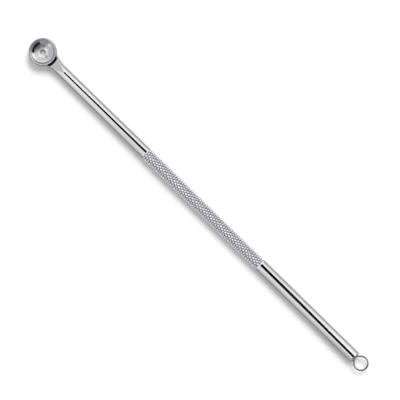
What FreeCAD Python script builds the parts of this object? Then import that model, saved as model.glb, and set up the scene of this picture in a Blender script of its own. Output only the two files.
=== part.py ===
import FreeCAD, Part
import math
import os

# Blackhead extractor: a steel bar with a rolled diamond knurl as its grip, a drilled spoon cup
# brazed to the flared neck at one end, and a wire loop brazed into a socket at the other.
#
# X runs along the tool, from the spoon at -X to the loop at +X. Z is up and the spoon opens
# upwards. The origin lies under the middle of the tool, on the surface that it rests on.
# All sizes are in millimetres and all angles in degrees.

# Whole tool
overall_length = 140.0

# Spoon cup
cup_diameter = 8.4
bowl_depth = 2.0
cup_rim_wall = 0.45
lip_bead_diameter = 0.56
lip_bead_seam_angle = 40.0
lip_drop = 0.1
cup_land_diameter = 2.6
cup_hole_diameter = 1.6
cup_hole_bevel = 0.1
cup_braze_gap = 0.08

# Neck that carries the cup, measured from the middle of the cup
neck_diameter = 3.2
neck_flare_radius = 10.0
neck_flare_tuck = 0.4
neck_underside_rise = 1.3
neck_shoulder = 0.01
neck_inner_end = 2.3
neck_sections = 6
oval_points = 16
facet_apex_distance = 8.8
facet_depth = 0.57
taper_distance = 9.5

# Fillet of brazing metal between the ground face and the lip
fillet_reach = 0.5
fillet_slope_angle = 26.0

# Shanks and knurled grip
front_shank_diameter = 3.45
rear_shank_diameter = 3.6
rear_end_rounding = 0.65
knurl_distance = 43.25
knurl_length = 48.0
knurl_crest_diameter = 3.76
knurl_depth = 0.26
knurl_edge_step = 0.02
knurl_diamond_length = 1.5
knurl_diamond_width = 0.98

# Wire loop and the socket that holds its legs
wire_diameter = 0.5
loop_diameter = 4.7
loop_leg_angle = 45.0
leg_spacing_at_mouth = 1.24
leg_spacing_in_socket = 0.6
leg_bend_radius = 0.8
leg_end_clearance = 0.3
socket_depth = 9.0
socket_point_angle = 118.0
socket_braze_film = 0.13
braze_cone_height = 0.15

# One overrun for every cutting shape
cut_overrun = 1.0

# Places that follow from the sizes above
cup_radius = cup_diameter / 2
cup_x = cup_radius - overall_length / 2
neck_radius = neck_diameter / 2
axis_height = knurl_crest_diameter / 2
bead_radius = lip_bead_diameter / 2
cup_height = axis_height + neck_radius - lip_drop
bead_centre = (cup_radius - bead_radius, cup_height - bead_radius)
wire_radius = wire_diameter / 2
loop_centre_radius = loop_diameter / 2 - wire_radius
leg_slope = math.radians(loop_leg_angle)
loop_x = overall_length / 2 - loop_diameter / 2
loop_reach = loop_centre_radius / math.sin(leg_slope) - leg_spacing_at_mouth / 2 / math.tan(leg_slope)
rear_end_x = loop_x - loop_reach
knurl_start_x = cup_x + knurl_distance
knurl_end_x = knurl_start_x + knurl_length

Z_AXIS = FreeCAD.Vector(0, 0, 1)
X_AXIS = FreeCAD.Vector(1, 0, 0)
Y_AXIS = FreeCAD.Vector(0, 1, 0)


def line(start, end):
    """Straight edge between two points."""
    return Part.makeLine(start, end)


def spline_of(curve):
    """Edge of the same form as a straight line or an arc, held as a spline."""
    return curve.toBSpline().toShape()


def face_of(edges):
    """Flat face inside a closed run of edges."""
    return Part.Face(Part.Wire(Part.__sortEdges__(edges)))


def bar_point(x, radius):
    """Point of a profile that is turned about the bar's axis."""
    return FreeCAD.Vector(x, 0, axis_height + radius)


def closed_polygon(points):
    """Closed wire through points."""
    return Part.makePolygon(points + points[:1])


def turned_bar(points):
    """Solid turned about the bar's axis from (x, radius) corners, closed along the axis."""
    outline = closed_polygon([bar_point(x, radius) for x, radius in points])
    return Part.Face(outline).revolve(bar_point(0, 0), X_AXIS, 360)


# Cup outline, in a plane of (distance from the cup's axis, height)

def sphere_through(edge_radius, rim_radius, rim_height):
    """Height and radius of the circle on the axis through (edge_radius, 0) and the rim point."""
    height = (rim_radius ** 2 + rim_height ** 2 - edge_radius ** 2) / (2 * rim_height)
    return height, math.hypot(edge_radius, height)


sphere_height, sphere_radius = sphere_through(
    cup_land_diameter / 2, bead_centre[0] + cup_rim_wall / 2, bead_centre[1])
bowl_bottom = cup_height - bowl_depth
bowl_above_bottom, bowl_radius = sphere_through(
    0, bead_centre[0] - cup_rim_wall / 2, bead_centre[1] - bowl_bottom)
bowl_height = bowl_bottom + bowl_above_bottom


def lower_crossing(height, radius, bead):
    """Lower point where a circle round a point of the cup's axis meets the lip bead's circle."""
    across = bead_centre[0]
    down = height - bead_centre[1]
    gap = math.hypot(across, down)
    along = (radius ** 2 - bead ** 2 + gap ** 2) / (2 * gap)
    aside = math.sqrt(radius ** 2 - along ** 2)
    unit_r, unit_z = across / gap, -down / gap
    return along * unit_r + aside * unit_z, height + along * unit_z - aside * unit_r


def cup_point(radius, height):
    """Point of the cup's outline on its +X side."""
    return FreeCAD.Vector(cup_x + radius, 0, height)


def wall_arc(height, radius, start, end):
    """Arc round a point of the cup's axis, below it, between two (radius, height) points."""
    middle_r = (start[0] + end[0]) / 2
    middle_z = height - math.sqrt(radius ** 2 - middle_r ** 2)
    return Part.Arc(cup_point(*start), cup_point(middle_r, middle_z), cup_point(*end)).toShape()


def bead_arc(bead, start_angle, end_angle):
    """Arc of the lip bead between two angles, measured from the outward direction."""
    points = []
    for angle in (start_angle, (start_angle + end_angle) / 2, end_angle):
        points.append(cup_point(bead_centre[0] + bead * math.cos(angle),
                                bead_centre[1] + bead * math.sin(angle)))
    return spline_of(Part.Arc(*points))


def bead_angle(point):
    """Angle of a point seen from the middle of the bead."""
    return math.atan2(point[1] - bead_centre[1], point[0] - bead_centre[0])


def cup_envelope(gap):
    """Solid inside the cup's outer skin, grown by a gap and closed level with the lip."""
    radius = sphere_radius + gap
    bead = bead_radius + gap
    foot = math.sqrt(radius ** 2 - sphere_height ** 2)
    joint = lower_crossing(sphere_height, radius, bead)
    top = bead_centre[1] + bead
    outline = face_of([
        line(cup_point(0, 0), cup_point(foot, 0)),
        wall_arc(sphere_height, radius, (foot, 0), joint),
        bead_arc(bead, bead_angle(joint), math.pi / 2),
        line(cup_point(bead_centre[0], top), cup_point(0, top)),
        line(cup_point(0, top), cup_point(0, 0)),
    ])
    return outline.revolve(cup_point(0, 0), Z_AXIS, 360)


def spoon_cup():
    """Cup with a shallow round bowl, a bead round its lip, a small flat land and a bevelled hole."""
    hole_radius = cup_hole_diameter / 2
    land = (cup_land_diameter / 2, 0)
    outer_joint = lower_crossing(sphere_height, sphere_radius, bead_radius)
    inner_joint = lower_crossing(bowl_height, bowl_radius, bead_radius)
    bevel_radius = hole_radius + cup_hole_bevel
    bevel_top = (bevel_radius, bowl_height - math.sqrt(bowl_radius ** 2 - bevel_radius ** 2))
    bevel_foot = (hole_radius, bevel_top[1] - cup_hole_bevel)
    seam = math.radians(lip_bead_seam_angle)
    turns = [bead_angle(outer_joint), math.pi / 2 - seam, math.pi / 2 + seam,
             bead_angle(inner_joint) % (2 * math.pi)]
    bead = [bead_arc(bead_radius, start, end) for start, end in zip(turns, turns[1:])]
    outline = face_of(bead + [
        line(cup_point(hole_radius, 0), cup_point(*land)),
        wall_arc(sphere_height, sphere_radius, land, outer_joint),
        wall_arc(bowl_height, bowl_radius, inner_joint, bevel_top),
        line(cup_point(*bevel_top), cup_point(*bevel_foot)),
        line(cup_point(*bevel_foot), cup_point(hole_radius, 0)),
    ])
    return outline.revolve(cup_point(0, 0), Z_AXIS, 360)


# Neck: an oval that widens in plan along an arc and lifts off its underside towards the cup

flare_target = cup_radius - neck_flare_tuck
flare_start = math.sqrt((flare_target + neck_flare_radius) ** 2 - (neck_radius + neck_flare_radius) ** 2)


def oval(distance, half_width, half_height, lift):
    """Smooth closed section across the bar, at a distance from the middle of the cup."""
    points = []
    for index in range(oval_points):
        angle = 2 * math.pi * index / oval_points
        points.append(FreeCAD.Vector(cup_x + distance, half_width * math.cos(angle),
                                     axis_height + lift + half_height * math.sin(angle)))
    curve = Part.BSplineCurve()
    curve.interpolate(Points=points, PeriodicFlag=True)
    return Part.Wire([curve.toShape()])


def neck_section(distance):
    """Section of the neck: half its width follows the flare's arc, and its underside rises."""
    run = flare_start - distance
    half_width = neck_radius + neck_flare_radius - math.sqrt(neck_flare_radius ** 2 - run ** 2)
    rise = neck_underside_rise * (run / (flare_start - neck_inner_end)) ** 2
    return oval(distance, half_width, neck_radius - rise / 2, rise / 2)


def neck_blank():
    """Flared neck before its facet and its seat for the cup are cut."""
    step = (flare_start - neck_inner_end) / (neck_sections - 1)
    sections = [neck_section(neck_inner_end + step * index) for index in range(neck_sections)]
    return Part.makeLoft(sections, True, False)


def front_shank():
    """Straight run from the neck, which stands a hair proud of it, and a taper to the knurl."""
    start_x = cup_x + flare_start
    taper_x = cup_x + taper_distance
    radius = neck_radius - neck_shoulder
    outline = face_of([
        line(bar_point(start_x, 0), bar_point(start_x, radius)),
        line(bar_point(start_x, radius), bar_point(taper_x, radius)),
        spline_of(Part.LineSegment(bar_point(taper_x, radius),
                                   bar_point(knurl_start_x, front_shank_diameter / 2))),
        line(bar_point(knurl_start_x, front_shank_diameter / 2), bar_point(knurl_start_x, 0)),
        line(bar_point(knurl_start_x, 0), bar_point(start_x, 0)),
    ])
    return outline.revolve(bar_point(0, 0), X_AXIS, 360)


def facet_cutter():
    """Everything above the ground face, which runs down from the bar's top to below the lip."""
    apex = bar_point(cup_x + facet_apex_distance, neck_radius)
    foot = bar_point(cup_x + bead_centre[0], neck_radius - facet_depth)
    far_x = cup_x - cup_radius - cut_overrun
    over_z = axis_height + cup_diameter
    corners = [apex, foot, FreeCAD.Vector(far_x, 0, foot.z), FreeCAD.Vector(far_x, 0, over_z),
               FreeCAD.Vector(apex.x, 0, over_z)]
    profile = Part.Face(closed_polygon(corners))
    half_span = cup_radius + cut_overrun
    profile.translate(Y_AXIS * -half_span)
    return profile.extrude(Y_AXIS * (2 * half_span))


def fillet_ring():
    """Cone round the cup that slopes from the lip down past the ground face of the neck."""
    slope = math.tan(math.radians(fillet_slope_angle))
    facet_slope = facet_depth / (facet_apex_distance - bead_centre[0])
    foot_distance = cup_radius + fillet_reach
    foot_z = axis_height + neck_radius - facet_slope * (facet_apex_distance - foot_distance)
    inner = bead_centre[0] + bead_radius / 2
    start = FreeCAD.Vector(cup_x + inner, 0, foot_z + slope * (foot_distance - inner))
    end = FreeCAD.Vector(cup_x + foot_distance + fillet_reach, 0, foot_z - slope * fillet_reach)
    outline = Part.Face(closed_polygon([start, end, FreeCAD.Vector(start.x, 0, end.z)]))
    return outline.revolve(cup_point(0, 0), Z_AXIS, 360)


# Knurl: rings of points, crest and root by turns, shifted by one place from ring to ring

knurl_diamonds_round = round(math.pi * knurl_crest_diameter / knurl_diamond_width)
knurl_places = 2 * knurl_diamonds_round
knurl_gaps = round(2 * knurl_length / knurl_diamond_length)


def knurl_ring(index):
    """One ring of the knurl's points. The two end rings are round and clear the shanks' edges."""
    crest = knurl_crest_diameter / 2
    root = crest - knurl_depth
    corner_share = 1 / math.cos(math.pi / knurl_places)
    end_radii = {0: front_shank_diameter / 2 * corner_share + knurl_edge_step,
                 knurl_gaps: rear_shank_diameter / 2 * corner_share + knurl_edge_step}
    points = []
    for place in range(knurl_places):
        radius = crest if (index + place) % 2 == 0 else root
        radius = end_radii.get(index, radius)
        angle = 2 * math.pi * place / knurl_places - math.pi / 2
        points.append(FreeCAD.Vector(knurl_start_x + knurl_length * index / knurl_gaps,
                                     radius * math.cos(angle), axis_height + radius * math.sin(angle)))
    return points


def knurl_skin():
    """Two triangles between each four neighbouring points, parted along a groove of the knurl."""
    rings = [knurl_ring(index) for index in range(knurl_gaps + 1)]
    faces = []
    for index, (here, over) in enumerate(zip(rings, rings[1:])):
        for place in range(knurl_places):
            beside = (place + 1) % knurl_places
            corners = [here[place], here[beside], over[beside], over[place]]
            if (index + place) % 2 == 0:
                corners = corners[1:] + corners[:1]
            faces.append(Part.Face(closed_polygon(corners[:3])))
            faces.append(Part.Face(closed_polygon(corners[2:] + corners[:1])))
    return faces, rings[0], rings[-1]


def knurled_bar(front, rear):
    """One solid from the front and rear of the bar with the knurl's skin between their ends."""
    skin, first_ring, last_ring = knurl_skin()
    front_end = max(front.Faces, key=lambda face: face.CenterOfMass.x)
    rear_end = min(rear.Faces, key=lambda face: face.CenterOfMass.x)
    for end_face, ring in ((front_end, first_ring), (rear_end, last_ring)):
        wires = [closed_polygon(ring), end_face.OuterWire]
        skin.append(Part.makeFace(wires, "Part::FaceMakerBullseye"))
    skin += [face for face in front.Faces if not face.isSame(front_end)]
    skin += [face for face in rear.Faces if not face.isSame(rear_end)]
    return Part.makeSolid(Part.makeShell(skin))


# Rear end, its socket, and the loop whose legs the socket holds

socket_radius = leg_spacing_in_socket / 2 + wire_radius + socket_braze_film
mouth_radius = leg_spacing_at_mouth / 2 + wire_radius / math.cos(leg_slope) + socket_braze_film
mouth_depth = (mouth_radius - socket_radius) / math.tan(leg_slope)
socket_end_x = rear_end_x - socket_depth
socket_point_x = socket_end_x - socket_radius / math.tan(math.radians(socket_point_angle / 2))


def rear_shank():
    """Straight shank with a rounded end."""
    radius = rear_shank_diameter / 2
    rounding = min(rear_end_rounding, radius / 2)
    outline = face_of([
        line(bar_point(knurl_end_x, 0), bar_point(knurl_end_x, radius)),
        line(bar_point(knurl_end_x, radius), bar_point(rear_end_x - rounding, radius)),
        spline_of(Part.Arc(bar_point(rear_end_x - rounding, radius),
                           bar_point(rear_end_x - rounding + rounding * math.sin(math.pi / 4),
                                     radius - rounding + rounding * math.cos(math.pi / 4)),
                           bar_point(rear_end_x, radius - rounding))),
        line(bar_point(rear_end_x, radius - rounding), bar_point(rear_end_x, 0)),
        line(bar_point(rear_end_x, 0), bar_point(knurl_end_x, 0)),
    ])
    return outline.revolve(bar_point(0, 0), X_AXIS, 360)


def socket_cutter():
    """Drilled socket with a countersunk mouth, carried on past the end of the bar."""
    flared = mouth_radius + cut_overrun * math.tan(leg_slope)
    return turned_bar([(socket_point_x, 0), (socket_end_x, socket_radius),
                       (rear_end_x - mouth_depth, socket_radius),
                       (rear_end_x + cut_overrun, flared), (rear_end_x + cut_overrun, 0)])


def wire_bend(point, heading, centre, turn):
    """Wire that sets off from a point and turns about a centre in the level plane of the axis."""
    section = Part.Face(Part.Wire([spline_of(Part.Circle(point, heading, wire_radius))]))
    return section.revolve(centre, Z_AXIS, turn)


def wire_run(start, end):
    """Straight wire between two points."""
    return Part.makeCylinder(wire_radius, (end - start).Length, start, end - start)


def wire_loop():
    """Wire bent to a loop, with straight legs that meet the bar and turn parallel in its socket."""
    gap = leg_spacing_in_socket / 2
    bend_run = leg_bend_radius * math.tan(leg_slope / 2)
    vertex_x = loop_x - loop_centre_radius / math.sin(leg_slope) + gap / math.tan(leg_slope)
    start = FreeCAD.Vector(socket_end_x + leg_end_clearance, gap, axis_height)
    bend_in = FreeCAD.Vector(vertex_x - bend_run, gap, axis_height)
    bend_out = FreeCAD.Vector(vertex_x + bend_run * math.cos(leg_slope),
                              gap + bend_run * math.sin(leg_slope), axis_height)
    touch = FreeCAD.Vector(loop_x - loop_centre_radius * math.sin(leg_slope),
                           loop_centre_radius * math.cos(leg_slope), axis_height)
    bend_centre = bend_in + Y_AXIS * leg_bend_radius
    leg = wire_run(start, bend_in).fuse([wire_bend(bend_in, X_AXIS, bend_centre, loop_leg_angle),
                                         wire_run(bend_out, touch)])
    loop_centre = FreeCAD.Vector(loop_x, 0, axis_height)
    ring = wire_bend(touch, touch - bend_out, loop_centre, -(180 + 2 * loop_leg_angle))
    return ring.fuse([leg, leg.mirror(loop_centre, Y_AXIS)])


def loop_braze(wire):
    """Brazing metal that fills the socket round the legs and stands a little proud of its mouth."""
    filling = turned_bar([(socket_point_x, 0), (socket_end_x, socket_radius),
                          (rear_end_x - mouth_depth, socket_radius), (rear_end_x, mouth_radius),
                          (rear_end_x + braze_cone_height, 0)])
    return filling.cut(wire)


# Assembly

seat = cup_envelope(cup_braze_gap)
blank = neck_blank()
over_facet = facet_cutter()
neck = blank.fuse(front_shank()).cut(over_facet)
handle = knurled_bar(neck.cut(seat), rear_shank().cut(socket_cutter()))
fillet = blank.common(over_facet).common(fillet_ring())
cup_braze = neck.common(seat).fuse(fillet).cut(cup_envelope(0))
loop = wire_loop()

pieces = {
    "handle": handle,
    "spoon_cup": spoon_cup(),
    "spoon_braze": cup_braze,
    "wire_loop": loop,
    "loop_braze": loop_braze(loop),
}

os.makedirs("parts", exist_ok=True)
for name, shape in pieces.items():
    shape.exportStep("parts/" + name + ".step")
    box = shape.BoundBox
    print(name, "solids", len(shape.Solids), "valid", shape.isValid(), "faces", len(shape.Faces),
          "volume", round(shape.Volume, 3), "x", round(box.XMin, 3), round(box.XMax, 3),
          "y", round(box.YMin, 3), round(box.YMax, 3), "z", round(box.ZMin, 3), round(box.ZMax, 3))
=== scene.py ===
import math

import bmesh
import bpy
import numpy as np
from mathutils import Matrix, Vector


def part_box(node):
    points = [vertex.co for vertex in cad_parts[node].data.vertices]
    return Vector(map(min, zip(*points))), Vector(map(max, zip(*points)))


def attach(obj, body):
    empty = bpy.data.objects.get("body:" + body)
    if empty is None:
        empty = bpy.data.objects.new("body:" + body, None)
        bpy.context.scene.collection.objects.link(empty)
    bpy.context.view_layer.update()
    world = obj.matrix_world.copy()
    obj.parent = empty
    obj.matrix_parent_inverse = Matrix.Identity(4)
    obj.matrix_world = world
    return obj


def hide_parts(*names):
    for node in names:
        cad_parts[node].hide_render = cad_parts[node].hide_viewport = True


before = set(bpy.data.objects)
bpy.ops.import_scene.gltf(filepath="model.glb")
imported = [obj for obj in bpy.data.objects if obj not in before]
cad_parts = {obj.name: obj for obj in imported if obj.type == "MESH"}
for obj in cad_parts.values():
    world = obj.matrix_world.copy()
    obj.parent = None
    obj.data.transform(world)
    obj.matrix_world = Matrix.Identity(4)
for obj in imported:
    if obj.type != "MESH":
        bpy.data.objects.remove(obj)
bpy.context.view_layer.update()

# Blackhead extractor on a pale floor, seen from straight above.
# X runs along the tool from the spoon to the wire loop, Z is up, and the floor is at zero.
# Shapes are worked out in millimetres and written to the meshes in metres, where points that lie
# closer than the weld are merged.

MILLIMETRE = 0.001
WELD = 2e-7


# Where the frame puts the pieces

def in_millimetres(corners):
    """Low and high corner of a box that is given in metres."""
    return [np.array(corner) / MILLIMETRE for corner in corners]


cup_low, cup_high = in_millimetres(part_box("spoon_cup"))
bar_high = in_millimetres(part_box("handle"))[1]
wire_high = in_millimetres(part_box("wire_loop"))[1]

CUP_RADIUS = 4.2
CUP_X = cup_low[0] + CUP_RADIUS
BAR_END_X = bar_high[0]
AXIS_Z = 1.88

# Spoon cup
CUP_HEIGHT = cup_high[2]
BOWL_DEPTH = 2.0
RIM_WALL = 0.45
BEAD_RADIUS = 0.28
LAND_RADIUS = 1.3
HOLE_RADIUS = 0.8
HOLE_BEVEL = 0.1
BEAD_R = CUP_RADIUS - BEAD_RADIUS
BEAD_Z = CUP_HEIGHT - BEAD_RADIUS
WALL_POINTS = 32
BEAD_POINTS = 48
BOWL_POINTS = 40
CUP_COLUMNS = 192

# Neck, measured from the middle of the cup
NECK_RADIUS = 3.2 / 2
FLARE_RADIUS = 10.0
FLARE_TUCK = 0.4
FLARE_TARGET = CUP_RADIUS - FLARE_TUCK
FLARE_START = math.sqrt((FLARE_TARGET + FLARE_RADIUS) ** 2 - (NECK_RADIUS + FLARE_RADIUS) ** 2)
UNDERSIDE_RISE = 1.3
NECK_INNER_END = 2.3
NECK_TIP = 3.8
NECK_TIP_Z = 1.6
SEAT_OVERLAP = 0.03
FACET_APEX = 8.8
FACET_DEPTH = 0.57
FACET_SLOPE = FACET_DEPTH / (FACET_APEX - BEAD_R)
TAPER_START = 9.5
SEAM_TRIALS = 1200
NECK_ROWS = 72
NECK_CROWDING = 1.5

# Crescent of brazing metal between the neck's ground face and the cup's lip, ends in degrees
FILLET_SLOPE = math.tan(math.radians(26.0))
FILLET_REACH = 0.56
FILLET_FOOT = CUP_RADIUS + FILLET_REACH
FILLET_END = 25.5
FILLET_END_LOSS = 0.9
FILLET_END_POWER = 8
FILLET_TUCK = 0.02
FILLET_THICKNESS = 0.12
FILLET_ROWS = 73
SEAM_BEAD_RADIUS = 0.07
SEAM_BEAD_ROWS = 12

# Shanks and knurl
COLUMNS = 144
FACET_COLUMNS = 10
FRONT_RADIUS = 3.45 / 2
REAR_RADIUS = 3.6 / 2
END_ROUNDING = 0.65
KNURL_START = 43.25
KNURL_LENGTH = 48.0
KNURL_END = KNURL_START + KNURL_LENGTH
KNURL_CREST = 3.76 / 2
KNURL_DEPTH = 0.26
DIAMOND_LENGTH = 1.5
DIAMONDS_ROUND = 12
RIDGE_ROUNDING = 0.2
RIDGE_FLAT = 0.24
RIDGE_SPAN = 0.74
GROOVE_JOINING = 5
DEEPEST_SHARE = 1.05
KNURL_FADE = (-0.05, 0.5)
KNURL_MARGIN = 0.1
REAR_MARGIN = 1.0
ROUNDING_LEAD = 0.05
TAPER_ROWS = 14
KNURL_ROWS = 400
SHANK_ROWS = 12
ROUNDING_ROWS = 12

# Wire, and the socket that is drilled to fit its two legs
WIRE_RADIUS = 0.25
LOOP_DIAMETER = 4.7
LOOP_RADIUS = LOOP_DIAMETER / 2 - WIRE_RADIUS
LOOP_X = wire_high[0] - LOOP_DIAMETER / 2
MOUTH_SPACING = 1.24
SOCKET_SPACING = 0.6
LEG_BEND = 0.8
LEG_CLEARANCE = 0.3
BRAZE_FILM = 0.13
SOCKET_DEPTH = 9.0
SOCKET_RADIUS = SOCKET_SPACING / 2 + WIRE_RADIUS + BRAZE_FILM
MOUTH_RADIUS = MOUTH_SPACING / 2 + WIRE_RADIUS * math.sqrt(2) + BRAZE_FILM
MOUTH_EDGE = 0.04
DRILL_TIP_SHARE = 0.6
BEND_POINTS = 9
RING_POINTS = 97
WIRE_COLUMNS = 32

# Brazing metal in the socket
BRAZE_STAND = 0.02
BRAZE_DOME = 0.1
BRAZE_GAP = 0.01
BRAZE_LIP = 0.03
CLIMB_HEIGHT = 0.22
CLIMB_REACH = 0.09
CLIMB_START = 0.3
LEG_SPREAD = 0.1
RIM_POWER = 6
BRAZE_ROWS = 36
BRAZE_COLUMNS = 96


# Meshes from grids of points

def grid_faces(rows, columns, first):
    """Four corners of each cell between neighbouring rows, whose columns close to a ring."""
    index = first + np.arange(rows * columns).reshape(rows, columns)
    index = np.concatenate([index, index[:, :1]], axis=1)
    cells = [index[:-1, :-1], index[:-1, 1:], index[1:, 1:], index[1:, :-1]]
    return np.stack(cells, axis=-1).reshape(-1, 4)


def piece_from(name, grids, material, stands_for, crease):
    """One welded, closed mesh from grids of points in millimetres, riding on the tool.

    Edges that turn by more than the crease, in degrees, stay sharp.
    """
    points, faces, first = [], [], 0
    for grid in grids:
        rows, columns = grid.shape[:2]
        points.append(grid.reshape(-1, 3) * MILLIMETRE)
        faces.append(grid_faces(rows, columns, first))
        first += rows * columns
    mesh = bpy.data.meshes.new(name)
    mesh.from_pydata(np.concatenate(points).tolist(), [], np.concatenate(faces).tolist())
    work = bmesh.new()
    work.from_mesh(mesh)
    bmesh.ops.remove_doubles(work, verts=work.verts, dist=WELD)
    bmesh.ops.recalc_face_normals(work, faces=work.faces)
    work.to_mesh(mesh)
    work.free()
    mesh.shade_smooth()
    mesh.set_sharp_from_angle(angle=math.radians(crease))
    mesh.materials.append(material)
    piece = bpy.data.objects.new(name, mesh)
    bpy.context.scene.collection.objects.link(piece)
    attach(piece, "root")
    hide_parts(*stands_for)


def smooth_step(low, high, value):
    """0 below low, 1 above high and 3t^2 - 2t^3 between them."""
    t = np.clip((value - low) / (high - low), 0, 1)
    return t * t * (3 - 2 * t)


def points_at(x, y, z):
    """Grid of points from coordinates that broadcast against each other."""
    return np.stack(np.broadcast_arrays(x, y, z), axis=-1)


def turned(x, radius, angle):
    """Points at distance radius from the bar's axis: y = r sin(angle), z = axis + r cos(angle)."""
    return points_at(x, radius * np.sin(angle), AXIS_Z + radius * np.cos(angle))


# Spoon cup

def sphere_through(edge_radius, rim_radius, rim_height):
    """Height and radius of the circle on the axis through (edge_radius, 0) and the rim point."""
    height = (rim_radius ** 2 + rim_height ** 2 - edge_radius ** 2) / (2 * rim_height)
    return height, math.hypot(edge_radius, height)


SPHERE_Z, SPHERE_RADIUS = sphere_through(LAND_RADIUS, BEAD_R + RIM_WALL / 2, BEAD_Z)
BOWL_BOTTOM = CUP_HEIGHT - BOWL_DEPTH
BOWL_ABOVE_BOTTOM, BOWL_RADIUS = sphere_through(0, BEAD_R - RIM_WALL / 2, BEAD_Z - BOWL_BOTTOM)
BOWL_Z = BOWL_BOTTOM + BOWL_ABOVE_BOTTOM


def wall_and_bead(centre_z, wall_radius):
    """Point where a circle round a point of the axis meets the bead's circle, on its lower side."""
    gap = math.hypot(BEAD_R, centre_z - BEAD_Z)
    along = (wall_radius ** 2 - BEAD_RADIUS ** 2 + gap ** 2) / (2 * gap)
    aside = math.sqrt(wall_radius ** 2 - along ** 2)
    unit_r, unit_z = BEAD_R / gap, -(centre_z - BEAD_Z) / gap
    return np.array([along * unit_r + aside * unit_z, centre_z + along * unit_z - aside * unit_r])


def wall_curve(centre_z, wall_radius, start_r, end_r, count):
    """Circle in (r, z) round a point of the axis: z = centre - sqrt(R^2 - r^2), in even steps."""
    angle = np.linspace(math.asin(start_r / wall_radius), math.asin(end_r / wall_radius), count)
    return np.stack([wall_radius * np.sin(angle), centre_z - wall_radius * np.cos(angle)], axis=-1)


def cup_profile():
    """Closed outline in (r, z): hole, land, outer wall, round bead, inner wall, bevel."""
    outer, inner = wall_and_bead(SPHERE_Z, SPHERE_RADIUS), wall_and_bead(BOWL_Z, BOWL_RADIUS)
    start = math.atan2(outer[1] - BEAD_Z, outer[0] - BEAD_R)
    end = math.atan2(inner[1] - BEAD_Z, inner[0] - BEAD_R) % (2 * math.pi)
    turn = np.linspace(start, end, BEAD_POINTS)
    bead = np.stack([BEAD_R + BEAD_RADIUS * np.cos(turn), BEAD_Z + BEAD_RADIUS * np.sin(turn)], axis=-1)
    bowl = wall_curve(BOWL_Z, BOWL_RADIUS, inner[0], HOLE_RADIUS + HOLE_BEVEL, BOWL_POINTS)
    hole = np.array([[HOLE_RADIUS, bowl[-1, 1] - HOLE_BEVEL], [HOLE_RADIUS, 0.0]])
    wall = wall_curve(SPHERE_Z, SPHERE_RADIUS, LAND_RADIUS, outer[0], WALL_POINTS)
    return np.concatenate([hole, wall[:-1], bead[:-1], bowl])


def cup_grid():
    """Outline carried round the cup's axis: x = cup + r cos(a), y = r sin(a)."""
    profile = cup_profile()
    profile = np.concatenate([profile, profile[:1]])
    angle = np.linspace(0, 2 * math.pi, CUP_COLUMNS, endpoint=False)
    radius, height = profile[:, :1], profile[:, 1:]
    return points_at(CUP_X + radius * np.cos(angle), radius * np.sin(angle), height)


def outside_cup(x, y, z):
    """Distance from the cup's outer skin, negative inside it: the nearer of bead and wall."""
    radius = np.hypot(x - CUP_X, y)
    bead = np.hypot(radius - BEAD_R, z - BEAD_Z) - BEAD_RADIUS
    wall = np.maximum(np.hypot(radius, z - SPHERE_Z) - SPHERE_RADIUS, z - BEAD_Z)
    return np.minimum(bead, wall)


# Handle: neck with its facet, taper, knurl, rear shank and socket, on one grid of rows and columns.
# The columns count round the bar from its top line, which is column 0.

HALF = COLUMNS // 2
column = np.arange(COLUMNS) - HALF
plain_angle = 2 * math.pi * column / COLUMNS


def facet_height(distance):
    """Flat ground face from the top of the bar down to below the cup's lip, level inside."""
    ahead = np.clip(distance, BEAD_R, FACET_APEX)
    return AXIS_Z + NECK_RADIUS - FACET_SLOPE * (FACET_APEX - ahead)


def neck_oval(distance):
    """Half width, middle height and half height of the oval section.

    Half width = neck + F - sqrt(F^2 - run^2) with F the flare's radius, and the underside rises
    with the square of the run.
    """
    run = np.clip(FLARE_START - distance, 0, None)
    half_width = NECK_RADIUS + FLARE_RADIUS - np.sqrt(FLARE_RADIUS ** 2 - run ** 2)
    rise = UNDERSIDE_RISE * (run / (FLARE_START - NECK_INNER_END)) ** 2
    return half_width, AXIS_Z + rise / 2, NECK_RADIUS - rise / 2


def neck_points(distance):
    """Oval section, wider and lifted towards the cup, cut level across by the ground face.

    Angles are measured from the top. The columns up to FACET_COLUMNS on each side share the face,
    so the last of them follows its edge.
    """
    half_width, middle, half_height = neck_oval(distance)
    top = np.where(distance < FACET_APEX, facet_height(distance), AXIS_Z + 2 * NECK_RADIUS)
    edge = np.arccos(np.clip((top - middle) / half_height, -1, 1))
    edge = np.maximum(edge, 2 * math.pi * FACET_COLUMNS / COLUMNS)
    count = np.abs(column)
    inner = edge * count / FACET_COLUMNS
    outer = edge + (math.pi - edge) * (count - FACET_COLUMNS) / (HALF - FACET_COLUMNS)
    angle = np.sign(column) * np.where(count <= FACET_COLUMNS, inner, outer)
    height = np.minimum(middle + half_height * np.cos(angle), top)
    return points_at(CUP_X + distance, half_width * np.sin(angle), height)


def neck_grid():
    """Lengthwise lines of the neck, each ended where it has just entered the cup's skin.

    Rows crowd towards the cup: distance = end + (start - end) * share^1.5.
    """
    ahead = np.linspace(TAPER_START, NECK_INNER_END, SEAM_TRIALS)[:, None]
    trial = neck_points(ahead)
    inside = outside_cup(trial[..., 0], trial[..., 1], trial[..., 2]) < -SEAT_OVERLAP
    first = np.where(inside.any(axis=0), inside.argmax(axis=0), len(ahead) - 1)
    end = ahead[first, 0]
    share = np.linspace(0, 1, NECK_ROWS)[:, None]
    return neck_points(end + (TAPER_START - end) * share ** NECK_CROWDING)


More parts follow.
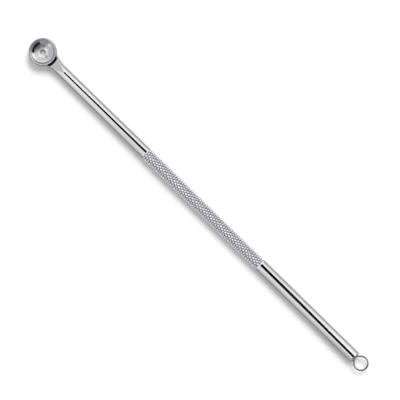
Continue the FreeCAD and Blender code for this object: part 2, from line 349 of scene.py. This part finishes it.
def knurl_radius(distance, angle):
    """Two crossing sets of V grooves: r = crest - depth * soft maximum of both, faded at the ends.

    Along and round count diamonds. A groove's depth runs from 0 on a ridge to 1 half a diamond
    aside, a small flat is left on each ridge, and the soft maximum is (a^5 + b^5)^(1/5).
    """
    along = (distance - KNURL_START) / DIAMOND_LENGTH
    around = (angle + math.pi) * DIAMONDS_ROUND / (2 * math.pi)
    depths = []
    for diagonal in (along + around, along - around):
        slope = 2 * np.abs(diagonal - np.round(diagonal))
        rounded = np.sqrt(slope ** 2 + RIDGE_ROUNDING ** 2)
        depths.append(np.clip((rounded - RIDGE_FLAT) / RIDGE_SPAN, 0, 1))
    depth = (depths[0] ** GROOVE_JOINING + depths[1] ** GROOVE_JOINING) ** (1 / GROOVE_JOINING)
    cut = KNURL_CREST - KNURL_DEPTH * np.clip(depth, 0, DEEPEST_SHARE)
    fade = smooth_step(*KNURL_FADE, distance - KNURL_START)
    fade = fade * smooth_step(*KNURL_FADE, KNURL_END - distance)
    shank = np.where(distance < KNURL_START + KNURL_LENGTH / 2, FRONT_RADIUS, REAR_RADIUS)
    return shank + (cut - shank) * fade


def rear_profile():
    """Outline in (x, r) from behind the knurl, round the bar's end and down the socket to its tip.

    The shank's last row lies just before the rounding, so that the rounding doesn't bend the
    shank's smooth shading.
    """
    shank_x = np.linspace(CUP_X + KNURL_END + REAR_MARGIN, BAR_END_X - END_ROUNDING, SHANK_ROWS)
    shank_x[-1] -= ROUNDING_LEAD
    turn = np.linspace(0, math.pi / 2, ROUNDING_ROWS)
    profile = [(x, REAR_RADIUS) for x in shank_x]
    profile += [(BAR_END_X - END_ROUNDING * (1 - math.sin(angle)),
                 REAR_RADIUS - END_ROUNDING * (1 - math.cos(angle))) for angle in turn]
    profile += [(BAR_END_X, MOUTH_RADIUS + MOUTH_EDGE),
                (BAR_END_X - MOUTH_EDGE, MOUTH_RADIUS - MOUTH_EDGE / 2),
                (BAR_END_X - MOUTH_RADIUS + SOCKET_RADIUS, SOCKET_RADIUS),
                (BAR_END_X - SOCKET_DEPTH, SOCKET_RADIUS),
                (BAR_END_X - SOCKET_DEPTH - SOCKET_RADIUS * DRILL_TIP_SHARE, 0)]
    return np.array(profile)


def handle_grid():
    """Rows of the whole bar, from a point inside the cup's wall to the point of the drilled socket."""
    neck = neck_grid()
    tip = np.broadcast_to(np.array([CUP_X + NECK_TIP, 0, NECK_TIP_Z]), neck[:1].shape)
    taper_x = np.linspace(TAPER_START, KNURL_START, TAPER_ROWS)[1:-1, None]
    share = (taper_x - TAPER_START) / (KNURL_START - TAPER_START)
    taper = turned(CUP_X + taper_x, NECK_RADIUS + (FRONT_RADIUS - NECK_RADIUS) * share, plain_angle)
    knurl_x = np.linspace(KNURL_START - KNURL_MARGIN, KNURL_END + KNURL_MARGIN, KNURL_ROWS)[:, None]
    knurl = turned(CUP_X + knurl_x, knurl_radius(knurl_x, plain_angle), plain_angle)
    profile = rear_profile()
    rear = turned(profile[:, :1], profile[:, 1:], plain_angle)
    return np.concatenate([tip, neck, taper, knurl, rear])


# Wire loop

def wire_path():
    """Middle line of the wire in the level plane of the axis, with its headings.

    It leaves the socket parallel to the bar, bends through 45 degrees, runs straight, goes 270
    degrees round the loop, and comes back as the mirror image.
    """
    gap, slope = SOCKET_SPACING / 2, math.pi / 4
    bend_x = LOOP_X - LOOP_RADIUS / math.sin(slope) + gap - LEG_BEND * math.tan(slope / 2)
    start = np.array([[BAR_END_X - SOCKET_DEPTH + LEG_CLEARANCE, gap]])
    turn = np.linspace(0, slope, BEND_POINTS)
    bend = np.stack([bend_x + LEG_BEND * np.sin(turn), gap + LEG_BEND * (1 - np.cos(turn))], axis=-1)
    sweep = np.linspace(math.pi - slope, slope - math.pi, RING_POINTS)
    ring = np.stack([LOOP_X + LOOP_RADIUS * np.cos(sweep), LOOP_RADIUS * np.sin(sweep)], axis=-1)
    out = np.concatenate([start, bend])
    heading_out = np.concatenate([[0.0], turn])
    path = np.concatenate([out, ring, out[::-1] * [1, -1]])
    heading = np.concatenate([heading_out, sweep - math.pi / 2, math.pi - heading_out[::-1]])
    return path, heading


def wire_grid():
    """Circle of the wire's radius carried square to the path, closed by a point at each end."""
    path, heading = wire_path()
    angle = np.linspace(0, 2 * math.pi, WIRE_COLUMNS, endpoint=False)
    aside = np.stack([-np.sin(heading), np.cos(heading)], axis=-1)[:, None, :]
    flat = path[:, None, :] + WIRE_RADIUS * aside * np.cos(angle)[None, :, None]
    tube = points_at(flat[..., 0], flat[..., 1], AXIS_Z + WIRE_RADIUS * np.sin(angle))
    ends = [np.broadcast_to([*path[end], AXIS_Z], tube[:1].shape) for end in (0, -1)]
    return np.concatenate([ends[0], tube, ends[1]])


# Brazing metal

def loop_braze_grid():
    """Filling of the socket. Its face is a low dome with a fillet that climbs each leg.

    Face height = dome * (1 - (r/R)^2) + climb * exp(-distance to the leg's skin / reach), and the
    fillet fades out towards the mouth's rim with 1 - (r/R)^6.
    """
    angle = np.linspace(0, 2 * math.pi, BRAZE_COLUMNS, endpoint=False)
    share = np.linspace(0, 1, BRAZE_ROWS)[:, None]
    radius = MOUTH_RADIUS * share
    leg_y = MOUTH_SPACING / 2 + LEG_SPREAD
    from_leg = np.hypot(np.abs(radius * np.sin(angle)) - leg_y, radius * np.cos(angle))
    from_skin = np.clip(from_leg - CLIMB_START, 0, None)
    climb = CLIMB_HEIGHT * np.exp(-from_skin / CLIMB_REACH) * (1 - share ** RIM_POWER)
    face = turned(BAR_END_X + BRAZE_STAND + BRAZE_DOME * (1 - share ** 2) + climb, radius, angle)
    shaft_radius, shaft_end = SOCKET_RADIUS - BRAZE_GAP, BAR_END_X - SOCKET_DEPTH + 2 * BRAZE_GAP
    back = np.array([(BAR_END_X - BRAZE_LIP, MOUTH_RADIUS - 2 * BRAZE_GAP),
                     (BAR_END_X - MOUTH_RADIUS + SOCKET_RADIUS, shaft_radius),
                     (shaft_end, shaft_radius), (shaft_end, 0)])
    return np.concatenate([face, turned(back[:, :1], back[:, 1:], angle)])


def fillet_grid():
    """Sloping crescent between the ground face and the lip, with blunt, closed ends.

    The slope is a cone round the cup. It runs down to the radius where it meets the ground face,
    and towards its ends that radius shrinks with (1 - 0.9 (angle / end)^8)^0.5. Below, the crescent
    reaches into the neck's skin.
    """
    bearing = np.radians(np.linspace(-FILLET_END, FILLET_END, FILLET_ROWS))[:, None]
    share = np.sqrt(1 - FILLET_END_LOSS * (bearing / bearing[-1]) ** FILLET_END_POWER)
    foot_z = facet_height(FILLET_FOOT)
    meeting = foot_z + FILLET_SLOPE * FILLET_FOOT - facet_height(BEAD_R) + FACET_SLOPE * BEAD_R
    meeting = meeting / (FILLET_SLOPE + FACET_SLOPE * np.cos(bearing))
    inner = np.full_like(bearing, BEAD_R + BEAD_RADIUS / 2 - FILLET_TUCK)
    outer = inner + (meeting - inner) * share
    top_z = foot_z + FILLET_SLOPE * (FILLET_FOOT - inner)
    outer_z = top_z - FILLET_SLOPE * (outer - inner)
    half_width, middle, half_height = neck_oval(outer * np.cos(bearing))
    aside = np.clip(outer * np.sin(bearing) / half_width, -1, 1)
    skin = middle + half_height * np.sqrt(1 - aside ** 2)
    low_z = np.minimum(outer_z, skin) - FILLET_THICKNESS
    radius = np.concatenate([inner, (inner + outer) / 2, outer, outer, inner], axis=1)
    height = np.concatenate([top_z, (top_z + outer_z) / 2, outer_z, low_z, low_z], axis=1)
    grid = points_at(CUP_X + radius * np.cos(bearing), radius * np.sin(bearing), height)
    ends = np.broadcast_to(grid[[0, -1]].mean(axis=1, keepdims=True), grid[[0, -1]].shape)
    return np.concatenate([ends[:1], grid, ends[1:]])


def seam_bead_grid():
    """Thin round bead of metal carried along the line where the neck meets the cup.

    Point = seam + radius * (cos(angle) * outward + sin(angle) * aside), square to the seam.
    """
    seam = neck_grid()[0]
    ahead = np.roll(seam, -1, axis=0) - np.roll(seam, 1, axis=0)
    ahead /= np.linalg.norm(ahead, axis=-1, keepdims=True)
    outward = seam - np.array([CUP_X, 0, SPHERE_Z / 2])
    outward -= (outward * ahead).sum(axis=-1, keepdims=True) * ahead
    outward /= np.linalg.norm(outward, axis=-1, keepdims=True)
    aside = np.cross(ahead, outward)
    angle = np.linspace(0, 2 * math.pi, SEAM_BEAD_ROWS)[:, None, None]
    return seam + SEAM_BEAD_RADIUS * (np.cos(angle) * outward + np.sin(angle) * aside)


# Shader graphs from expressions

class Graph:
    """Node tree that makes nodes by type, with settings first and then values or links."""

    def __init__(self, tree):
        self.tree = tree
        tree.nodes.clear()

    def node(self, kind, settings=None, **inputs):
        """Inputs are named by their socket, with _ for a space, or by i and their number."""
        made = self.tree.nodes.new(kind)
        for name, value in (settings or {}).items():
            if name == "stops":
                ramp = made.color_ramp
                while len(ramp.elements) < len(value):
                    ramp.elements.new(0.5)
                for element, (position, colour) in zip(ramp.elements, value):
                    element.position = position
                    element.color = colour
            else:
                setattr(made, name, value)
        for name, value in inputs.items():
            key = int(name[1:]) if name[0] == "i" and name[1:].isdigit() else name.replace("_", " ")
            self.connect(value, made.inputs[key])
        return made

    def connect(self, value, socket):
        if isinstance(value, Value):
            self.tree.links.new(value.socket, socket)
        elif isinstance(value, bpy.types.NodeSocket):
            self.tree.links.new(value, socket)
        else:
            socket.default_value = value

    def maths(self, operation, first, second):
        made = self.node("ShaderNodeMath", {"operation": operation}, i0=first, i1=second)
        return Value(self, made.outputs[0])

    def colour(self, share, low, high):
        """Colour that goes from low to high with the share."""
        made = self.node("ShaderNodeMix", {"data_type": "RGBA"}, i0=share, i6=low, i7=high)
        return made.outputs[2]

    def parts(self, vector):
        """The three numbers of a vector."""
        made = self.node("ShaderNodeSeparateXYZ", Vector=vector)
        return [Value(self, made.outputs[axis]) for axis in "XYZ"]

    def noise(self, **inputs):
        return Value(self, self.node("ShaderNodeTexNoise", **inputs).outputs["Fac"])


class Value:
    """Number socket whose operators add Math nodes."""

    def __init__(self, graph, socket):
        self.graph = graph
        self.socket = socket

    def __add__(self, other):
        return self.graph.maths("ADD", self, other)

    def __radd__(self, other):
        return self.graph.maths("ADD", other, self)

    def __sub__(self, other):
        return self.graph.maths("SUBTRACT", self, other)

    def __rsub__(self, other):
        return self.graph.maths("SUBTRACT", other, self)

    def __mul__(self, other):
        return self.graph.maths("MULTIPLY", self, other)

    def __rmul__(self, other):
        return self.graph.maths("MULTIPLY", other, self)

    def __truediv__(self, other):
        return self.graph.maths("DIVIDE", self, other)

    def __pow__(self, other):
        return self.graph.maths("POWER", self, other)

    def smooth(self, low, high):
        """0 below low, 1 above high and a smooth step between them."""
        made = self.graph.node("ShaderNodeMapRange", {"interpolation_type": "SMOOTHSTEP"},
                               Value=self, From_Min=low, From_Max=high)
        return Value(self.graph, made.outputs["Result"])

    def past(self, edge, softness):
        """0 before the edge and 1 after it, with a smooth step that reaches softness to each side."""
        return (self - edge).smooth(-softness, softness)

    def up_to(self, other):
        return self.graph.maths("MINIMUM", self, other)

    def at_least(self, other):
        return self.graph.maths("MAXIMUM", self, other)


# Steel. Scales are in repeats to the metre, and the finishes' sizes are in millimetres.

CLOUD_SCALE = 260.0
CLOUD_SHARE = 0.6
SCRATCH_SHARE = 0.8
STAIN_RISE = (0.3, 0.75)
STAIN_SHADE = 0.86
STAIN_SHARE = 0.35
EDGE_TINT = (0.06, 0.06, 0.08, 1.0)
SCRATCH_HEIGHT = 0.00002
LEAST_ROUGHNESS = 0.03

# Knurl: a painted highlight on the crests and painted shade in the grooves.
# The groove runs from the first radius to the second
GROOVE_RADII = (1.6, 1.86)
KNURL_BORDER = 0.2
KNURL_ROUGHNESS = 0.25
CREST_HIGHLIGHT_TINT = (0.86, 0.86, 0.89, 1.0)
GROOVE_SHADE_TINT = (0.1, 0.1, 0.11, 1.0)
GROOVE_SHADE_SHARE = 0.78

# Cup: painted highlights round the hole and on the lip, painted shade in the bowl and on the outer skin,
# and two darker patches in the bowl. Edges are radii from its axis, and a patch has its place and its
# radius
BOWL_EDGE = (2.5, 2.78)
LIP_START = (3.28, 3.62)
LIP_END = (3.62, 3.82)
OUTLINE_SHADE_RADII = (3.88, 4.04)
HOLE_HIGHLIGHT_RADII = (1.1, 1.9)
SATIN_ROUGHNESS = 0.3
BOWL_SHADE_SHARE = 0.12
PATCH_DARKENING = 0.5
BOWL_DARK_PATCHES = [(1.48, -0.2, 0.75), (-1.17, 1.56, 0.7)]
HOLE_HIGHLIGHT_SHARE = 0.75
LIP_HIGHLIGHT_SHARE = 0.5
OUTLINE_SHADE_SHARE = 0.75
HIGHLIGHT_TINT = (0.88, 0.88, 0.89, 1.0)
DARKENING_TINT = (0.1, 0.1, 0.115, 1.0)


def knurl_satin_and_painted_light(graph, place, tint, roughness):
    """Satin knurl with a painted highlight on its crests, and painted shade in its grooves that deepens
    towards their bottom.
    """
    x, y, z = place
    start, end = CUP_X + KNURL_START, CUP_X + KNURL_END
    knurled = x.smooth(start - KNURL_BORDER, start + KNURL_BORDER)
    knurled = knurled * (1 - x.smooth(end - KNURL_BORDER, end + KNURL_BORDER))
    radius = (y ** 2 + (z - AXIS_Z) ** 2) ** 0.5
    depth = (1 - radius.smooth(*GROOVE_RADII)) * knurled
    # Painted highlight: the knurl's metal is made paler so that its crests glint; then painted shade
    # darkens the grooves
    tint = graph.colour(knurled, tint, CREST_HIGHLIGHT_TINT)
    tint = graph.colour(depth * GROOVE_SHADE_SHARE, tint, GROOVE_SHADE_TINT)
    return tint, roughness + knurled * KNURL_ROUGHNESS


def cup_satin_and_painted_light(graph, place, tint, roughness):
    """Satin bowl and lip with a polished band between them.

    The metal has painted highlights round the hole and on the lip, and painted shade in the bowl and on
    the cup's outer skin. Two patches in the bowl are darker too.
    """
    x, y = place[0] - CUP_X, place[1]
    across = (x ** 2 + y ** 2) ** 0.5
    bowl = 1 - across.smooth(*BOWL_EDGE)
    lip = across.smooth(*LIP_START) * (1 - across.smooth(*LIP_END))
    # Painted highlights: paler metal round the hole and on the lip
    painted_highlight = (1 - across.smooth(*HOLE_HIGHLIGHT_RADII)) * HOLE_HIGHLIGHT_SHARE + lip * LIP_HIGHLIGHT_SHARE
    # Painted shade: darker metal in the bowl, and a dark outline on the cup's outer skin
    painted_shade_and_patches = bowl * BOWL_SHADE_SHARE + across.smooth(*OUTLINE_SHADE_RADII) * OUTLINE_SHADE_SHARE
    # Two patches in the bowl are made darker
    for patch_x, patch_y, reach in BOWL_DARK_PATCHES:
        away = ((x - patch_x) ** 2 + (y - patch_y) ** 2) ** 0.5
        painted_shade_and_patches = painted_shade_and_patches + bowl * (1 - away.smooth(0.0, reach)) * PATCH_DARKENING
    tint = graph.colour(painted_highlight, tint, HIGHLIGHT_TINT)
    tint = graph.colour(painted_shade_and_patches.up_to(1.0), tint, DARKENING_TINT)
    return tint, roughness + (bowl + lip) * SATIN_ROUGHNESS


def steel(name, colour, rough, rough_spread, scratch_scale, scratch_depth, finish=None):
    """Polished metal with faint stains, fine scratches and broad clouding.

    Roughness = rough + spread * (0.6 cloud + 0.8 scratch - 0.7). A finish works its own marks into
    the tint and the roughness, painted highlights and painted shade among them.
    """
    material = bpy.data.materials.new(name)
    material.use_nodes = True
    graph = Graph(material.node_tree)
    position = graph.node("ShaderNodeTexCoord").outputs["Object"]
    stretched = graph.node("ShaderNodeMapping", Vector=position, Scale=scratch_scale).outputs[0]
    cloud = graph.noise(Vector=position, Scale=CLOUD_SCALE, Detail=3.0, Roughness=0.6)
    scratch = graph.noise(Vector=stretched, Scale=1.0, Detail=4.0, Roughness=0.65)
    stained = [STAIN_SHADE * channel for channel in colour]
    tint = graph.colour(cloud.smooth(*STAIN_RISE) * STAIN_SHARE, (*colour, 1.0), (*stained, 1.0))
    uneven = cloud * CLOUD_SHARE + scratch * SCRATCH_SHARE - (CLOUD_SHARE + SCRATCH_SHARE) / 2
    roughness = rough + rough_spread * uneven
    if finish:
        place = [part / MILLIMETRE for part in graph.parts(position)]
        tint, roughness = finish(graph, place, tint, roughness)
    bump = graph.node("ShaderNodeBump", Strength=scratch_depth, Distance=SCRATCH_HEIGHT, Height=scratch)
    shader = graph.node("ShaderNodeBsdfPrincipled", Base_Color=tint, Metallic=1.0, Specular_Tint=EDGE_TINT,
                        Roughness=roughness.at_least(LEAST_ROUGHNESS), Normal=bump.outputs[0])
    graph.node("ShaderNodeOutputMaterial", Surface=shader.outputs[0])
    return material


bar_steel = steel("polished_bar_steel", (0.465, 0.46, 0.463), rough=0.045, rough_spread=0.03,
                  scratch_scale=(900.0, 9000.0, 9000.0), scratch_depth=0.12, finish=knurl_satin_and_painted_light)
# The cup's steel is paler than the bar's: painted light that makes up for the shade inside the bowl
cup_steel = steel("polished_cup_steel", (0.56, 0.555, 0.56), rough=0.1, rough_spread=0.06,
                  scratch_scale=(5000.0, 5000.0, 2500.0), scratch_depth=0.15, finish=cup_satin_and_painted_light)
wire_steel = steel("drawn_wire_steel", (0.25, 0.25, 0.27), rough=0.2, rough_spread=0.06,
                   scratch_scale=(3000.0, 3000.0, 12000.0), scratch_depth=0.12)
braze_metal = steel("brazing_metal", (0.42, 0.4, 0.36), rough=0.07, rough_spread=0.05,
                    scratch_scale=(6000.0, 6000.0, 6000.0), scratch_depth=0.08)

piece_from("handle_bar", [handle_grid()], bar_steel, ["handle"], crease=28.0)
piece_from("cup_bowl", [cup_grid()], cup_steel, ["spoon_cup"], crease=32.0)
piece_from("loop_wire", [wire_grid()], wire_steel, ["wire_loop"], crease=32.0)
piece_from("loop_braze_fillet", [loop_braze_grid()], braze_metal, ["loop_braze"], crease=60.0)
piece_from("spoon_braze_fillet", [seam_bead_grid(), fillet_grid()], braze_metal,
           ["spoon_braze"], crease=40.0)


# Floor

FLOOR_HALF = 6.0
FLOOR_Z = -2e-5
FLOOR_GRAIN = 40.0
FLOOR_SHADES = [(0.9, 0.9, 0.9, 1.0), (0.92, 0.92, 0.92, 1.0)]


def make_floor():
    """Flat white floor just under the tool, wide enough for every view."""
    corners = [(FLOOR_HALF * x, FLOOR_HALF * y, FLOOR_Z) for x, y in ((-1, -1), (1, -1), (1, 1), (-1, 1))]
    mesh = bpy.data.meshes.new("floor")
    mesh.from_pydata(corners, [], [(0, 1, 2, 3)])
    material = bpy.data.materials.new("floor_paper")
    material.use_nodes = True
    graph = Graph(material.node_tree)
    grain = graph.noise(Scale=FLOOR_GRAIN, Detail=2.0)
    shader = graph.node("ShaderNodeBsdfDiffuse", Color=graph.colour(grain, *FLOOR_SHADES))
    graph.node("ShaderNodeOutputMaterial", Surface=shader.outputs[0])
    mesh.materials.append(material)
    floor = bpy.data.objects.new("floor", mesh)
    bpy.context.scene.collection.objects.link(floor)


# Room that reflections show. Directions are flattened from above: g = (x, y) / (1 + z), so straight
# up is the middle and the horizon is the unit circle. Seen from above, the bar shows gx from about
# -0.034 at its front to 0.042 at its rear end, and the bowl also shows what lies further out.
# An edge is a place with its softness, a rise goes from its first value to its second, and a
# share says how much of a patch covers the walls.

# Brightness of the white walls by their lean from straight up, in degrees towards +Y, with the
# share of the cool white that the -Y side has
LEAN_RANGE = 120.0
WALL_LEVELS = [(-120, 0.4, 1.0), (-90, 0.5, 1.0), (-76, 0.9, 1.0), (-60, 1.2, 1.0), (-40, 1.28, 0.9),
               (-18, 1.4, 0.6), (25, 2.45, 0.0), (40, 2.3, 0.0), (56, 1.75, 0.0), (78, 1.34, 0.0),
               (115, 0.75, 0.0)]
COOL_WHITE = (1.0, 0.99, 1.09)
WARM_WHITE = (1.02, 1.0, 0.97)
HORIZON_OFFSET = 1.001

# Brightness is divided by the strength, so that no wall's colour is above 1
WALL_STRENGTH = 2.5
WALL_GAIN = 1.075
PLAIN_STRENGTH = 0.62
WHITE = (1.0, 1.0, 1.0, 1.0)

# Patches that brighten the -Y side of the neck and of the rear shank
LOWER_EDGE = (-0.1, 0.1)
NECK_EDGE = (-0.028, 0.006)
NECK_PATCH = (1.95, 1.95, 2.0)
NECK_SHARE = 0.45
SHANK_RISE = (-0.015, 0.025)
SHANK_PATCH = (1.75, 1.75, 1.93)
SHANK_SHARE = 0.35

# End walls: two past the spoon, a near one and a far one, and one past the loop. A pair of
# shades goes from the -Y side to the +Y side.
SIDE_EDGE = (0.0, 0.5)
NEAR_EDGE = (-0.1, 0.03)
NEAR_WALL = (1.03, 1.01, 0.99)
FAR_EDGE = (-0.22, 0.04)
FAR_WALLS = [(0.84, 0.84, 0.95), (1.25, 1.24, 1.22)]
LOOP_EDGE = (0.15, 0.05)
LOOP_WALLS = [(0.5, 0.5, 0.58), (1.1, 1.09, 1.07)]

# Pale zone between the slot and the wedge, which the bowl shows
GLOW_START_EDGE = (0.064, 0.012)
GLOW_END_EDGE = (0.42, 0.08)
GLOW_TILT = 0.25
GLOW_RISE = (0.0, 0.25)
GLOW_WALLS = [(0.45, 0.45, 0.5), (1.6, 1.59, 1.57)]

# Dark opening. The slot makes the bar's black line, and the wedge makes the black crescents in
# the bowl and on the brazing metal. A border line is (place, height there, slope), and of several
# lines the lowest counts.
OPENING = (0.004, 0.004, 0.005, 1.0)
OPENING_SOFTNESS = 0.015
SLOT_TOP = [(0.0, 0.485, 5.7), (0.0, 0.4, -1.3), (0.0345, 0.34, -30.0)]
SLOT_TOP_LEAST = 0.17
SLOT_FOOT = [(0.0, -0.055, -3.7), (0.0, -0.06, 0.0), (0.035, -0.16, -40.0)]
SLOT_FOOT_LEAST = -0.25
SLOT_EDGE = (-0.056, 0.008)
WEDGE_TOP = [(0.0, 0.42, 0.35)]
WEDGE_FOOT = [(0.0, -0.13, -0.42)]
WEDGE_EDGE = (0.36, 0.03)
WEDGE_RISE = (0.02, 0.2)


def scaled(colour):
    """Colour of a wall from its brightness in red, green and blue."""
    return (*[channel / WALL_STRENGTH for channel in colour], 1.0)


def lean_ramp(graph, y, z):
    """White walls whose brightness and warmth follow their lean from straight up."""
    stops = []
    for angle, level, cool_share in WALL_LEVELS:
        shade = [level * (cool_share * cool + (1 - cool_share) * warm)
                 for cool, warm in zip(COOL_WHITE, WARM_WHITE)]
        stops.append(((angle + LEAN_RANGE) / (2 * LEAN_RANGE), scaled(shade)))
    lean = graph.maths("ARCTAN2", y, z) * (180 / math.pi)
    place = (lean + LEAN_RANGE) / (2 * LEAN_RANGE)
    return graph.node("ShaderNodeValToRGB", {"stops": stops}, Fac=place).outputs["Color"]


def lowest_line(across, lines):
    """Lowest of straight lines, each of them height + slope * (across - place)."""
    heights = [height + slope * (across - place) for place, height, slope in lines]
    lowest = heights[0]
    for height in heights[1:]:
        lowest = lowest.up_to(height)
    return lowest


def tent_walls(graph, y, z, gx, gy):
    """White walls, with patches and end walls laid over them one after the other."""
    walls = lean_ramp(graph, y, z)
    lower = 1 - gy.past(*LOWER_EDGE)
    walls = graph.colour((1 - gx.past(*NECK_EDGE)) * lower * NECK_SHARE, walls, scaled(NECK_PATCH))
    walls = graph.colour(gx.smooth(*SHANK_RISE) * lower * SHANK_SHARE, walls, scaled(SHANK_PATCH))
    walls = graph.colour(1 - gx.past(*NEAR_EDGE), walls, scaled(NEAR_WALL))
    side = gy.past(*SIDE_EDGE)
    far_wall = graph.colour(side, *map(scaled, FAR_WALLS))
    walls = graph.colour(1 - gx.past(*FAR_EDGE), walls, far_wall)
    loop_wall = graph.colour(side, *map(scaled, LOOP_WALLS))
    walls = graph.colour(gx.past(*LOOP_EDGE), walls, loop_wall)
    glow = graph.colour((gy - GLOW_TILT * gx).smooth(*GLOW_RISE), *map(scaled, GLOW_WALLS))
    return graph.colour(gx.past(*GLOW_START_EDGE) * (1 - gx.past(*GLOW_END_EDGE)), walls, glow)


def tent_opening(z, gx, gy):
    """1 in the dark opening and 0 outside it: a slot above the bar, and a wedge past the loop."""
    slot_top = lowest_line(gx, SLOT_TOP).at_least(SLOT_TOP_LEAST)
    slot_foot = lowest_line(gx, SLOT_FOOT).at_least(SLOT_FOOT_LEAST)
    slot = slot_top.past(gy, OPENING_SOFTNESS) * gy.past(slot_foot, OPENING_SOFTNESS)
    slot = slot * gx.past(*SLOT_EDGE) * (1 - gx.past(*GLOW_START_EDGE))
    wedge_top, wedge_foot = lowest_line(gx, WEDGE_TOP), lowest_line(gx, WEDGE_FOOT)
    wedge = wedge_top.past(gy, OPENING_SOFTNESS) * gy.past(wedge_foot, OPENING_SOFTNESS)
    wedge = wedge * gx.past(*WEDGE_EDGE) * z.smooth(*WEDGE_RISE)
    return slot.at_least(wedge)


def make_world():
    """White room: plain soft light, and for reflections a tent of white walls with a dark opening."""
    world = bpy.data.worlds.new("studio")
    bpy.context.scene.world = world
    world.use_nodes = True
    graph = Graph(world.node_tree)
    x, y, z = graph.parts(graph.node("ShaderNodeTexCoord").outputs["Generated"])
    over = HORIZON_OFFSET + z
    gx, gy = x / over, y / over
    tent = graph.colour(tent_opening(z, gx, gy), tent_walls(graph, y, z, gx, gy), OPENING)
    path = graph.node("ShaderNodeLightPath").outputs
    reflected = graph.node("ShaderNodeBackground", Color=tent, Strength=WALL_STRENGTH * WALL_GAIN)
    plain = graph.node("ShaderNodeBackground", Color=WHITE, Strength=PLAIN_STRENGTH)
    backdrop = graph.node("ShaderNodeBackground", Color=WHITE, Strength=1.0)
    room = graph.node("ShaderNodeMixShader", i0=path["Is Glossy Ray"],
                      i1=plain.outputs[0], i2=reflected.outputs[0])
    view = graph.node("ShaderNodeMixShader", i0=path["Is Camera Ray"],
                      i1=room.outputs[0], i2=backdrop.outputs[0])
    graph.node("ShaderNodeOutputWorld", Surface=view.outputs[0])


# Lamp and camera, in metres and degrees

KEY_ENERGY = 2.25
KEY_WIDTH = 33.0
KEY_ELEVATION = 53.0
KEY_BEARING = (-0.385, 0.923)
CAMERA_HEIGHT = 0.8
FRAME_WIDTH = 0.120024
FRAME_MIDDLE = (-0.00113, 0.001276)
FRAME_TURN = 44.379
SENSOR_WIDTH = 36.0


def make_key():
    """Large soft lamp high on the +Y side, a little towards the spoon."""
    lamp = bpy.data.lights.new("key", "SUN")
    lamp.energy = KEY_ENERGY
    lamp.angle = math.radians(KEY_WIDTH)
    elevation = math.radians(KEY_ELEVATION)
    towards = Vector((*[part * math.cos(elevation) for part in KEY_BEARING], math.sin(elevation)))
    key = bpy.data.objects.new("key", lamp)
    key.visible_glossy = False
    key.rotation_mode = "QUATERNION"
    key.rotation_quaternion = towards.to_track_quat("Z", "Y")
    bpy.context.scene.collection.objects.link(key)


def make_camera():
    """Long lens straight above, turned so that the tool runs 44.4 degrees down to the right."""
    lens = bpy.data.cameras.new("camera")
    lens.sensor_width = SENSOR_WIDTH
    lens.lens = SENSOR_WIDTH * CAMERA_HEIGHT / FRAME_WIDTH
    camera = bpy.data.objects.new("camera", lens)
    camera.location = (*FRAME_MIDDLE, AXIS_Z * MILLIMETRE + CAMERA_HEIGHT)
    camera.rotation_euler = (0, 0, math.radians(FRAME_TURN))
    bpy.context.scene.collection.objects.link(camera)
    bpy.context.scene.camera = camera


make_floor()
make_world()
make_key()
make_camera()
bpy.context.scene.view_settings.view_transform = "Standard"
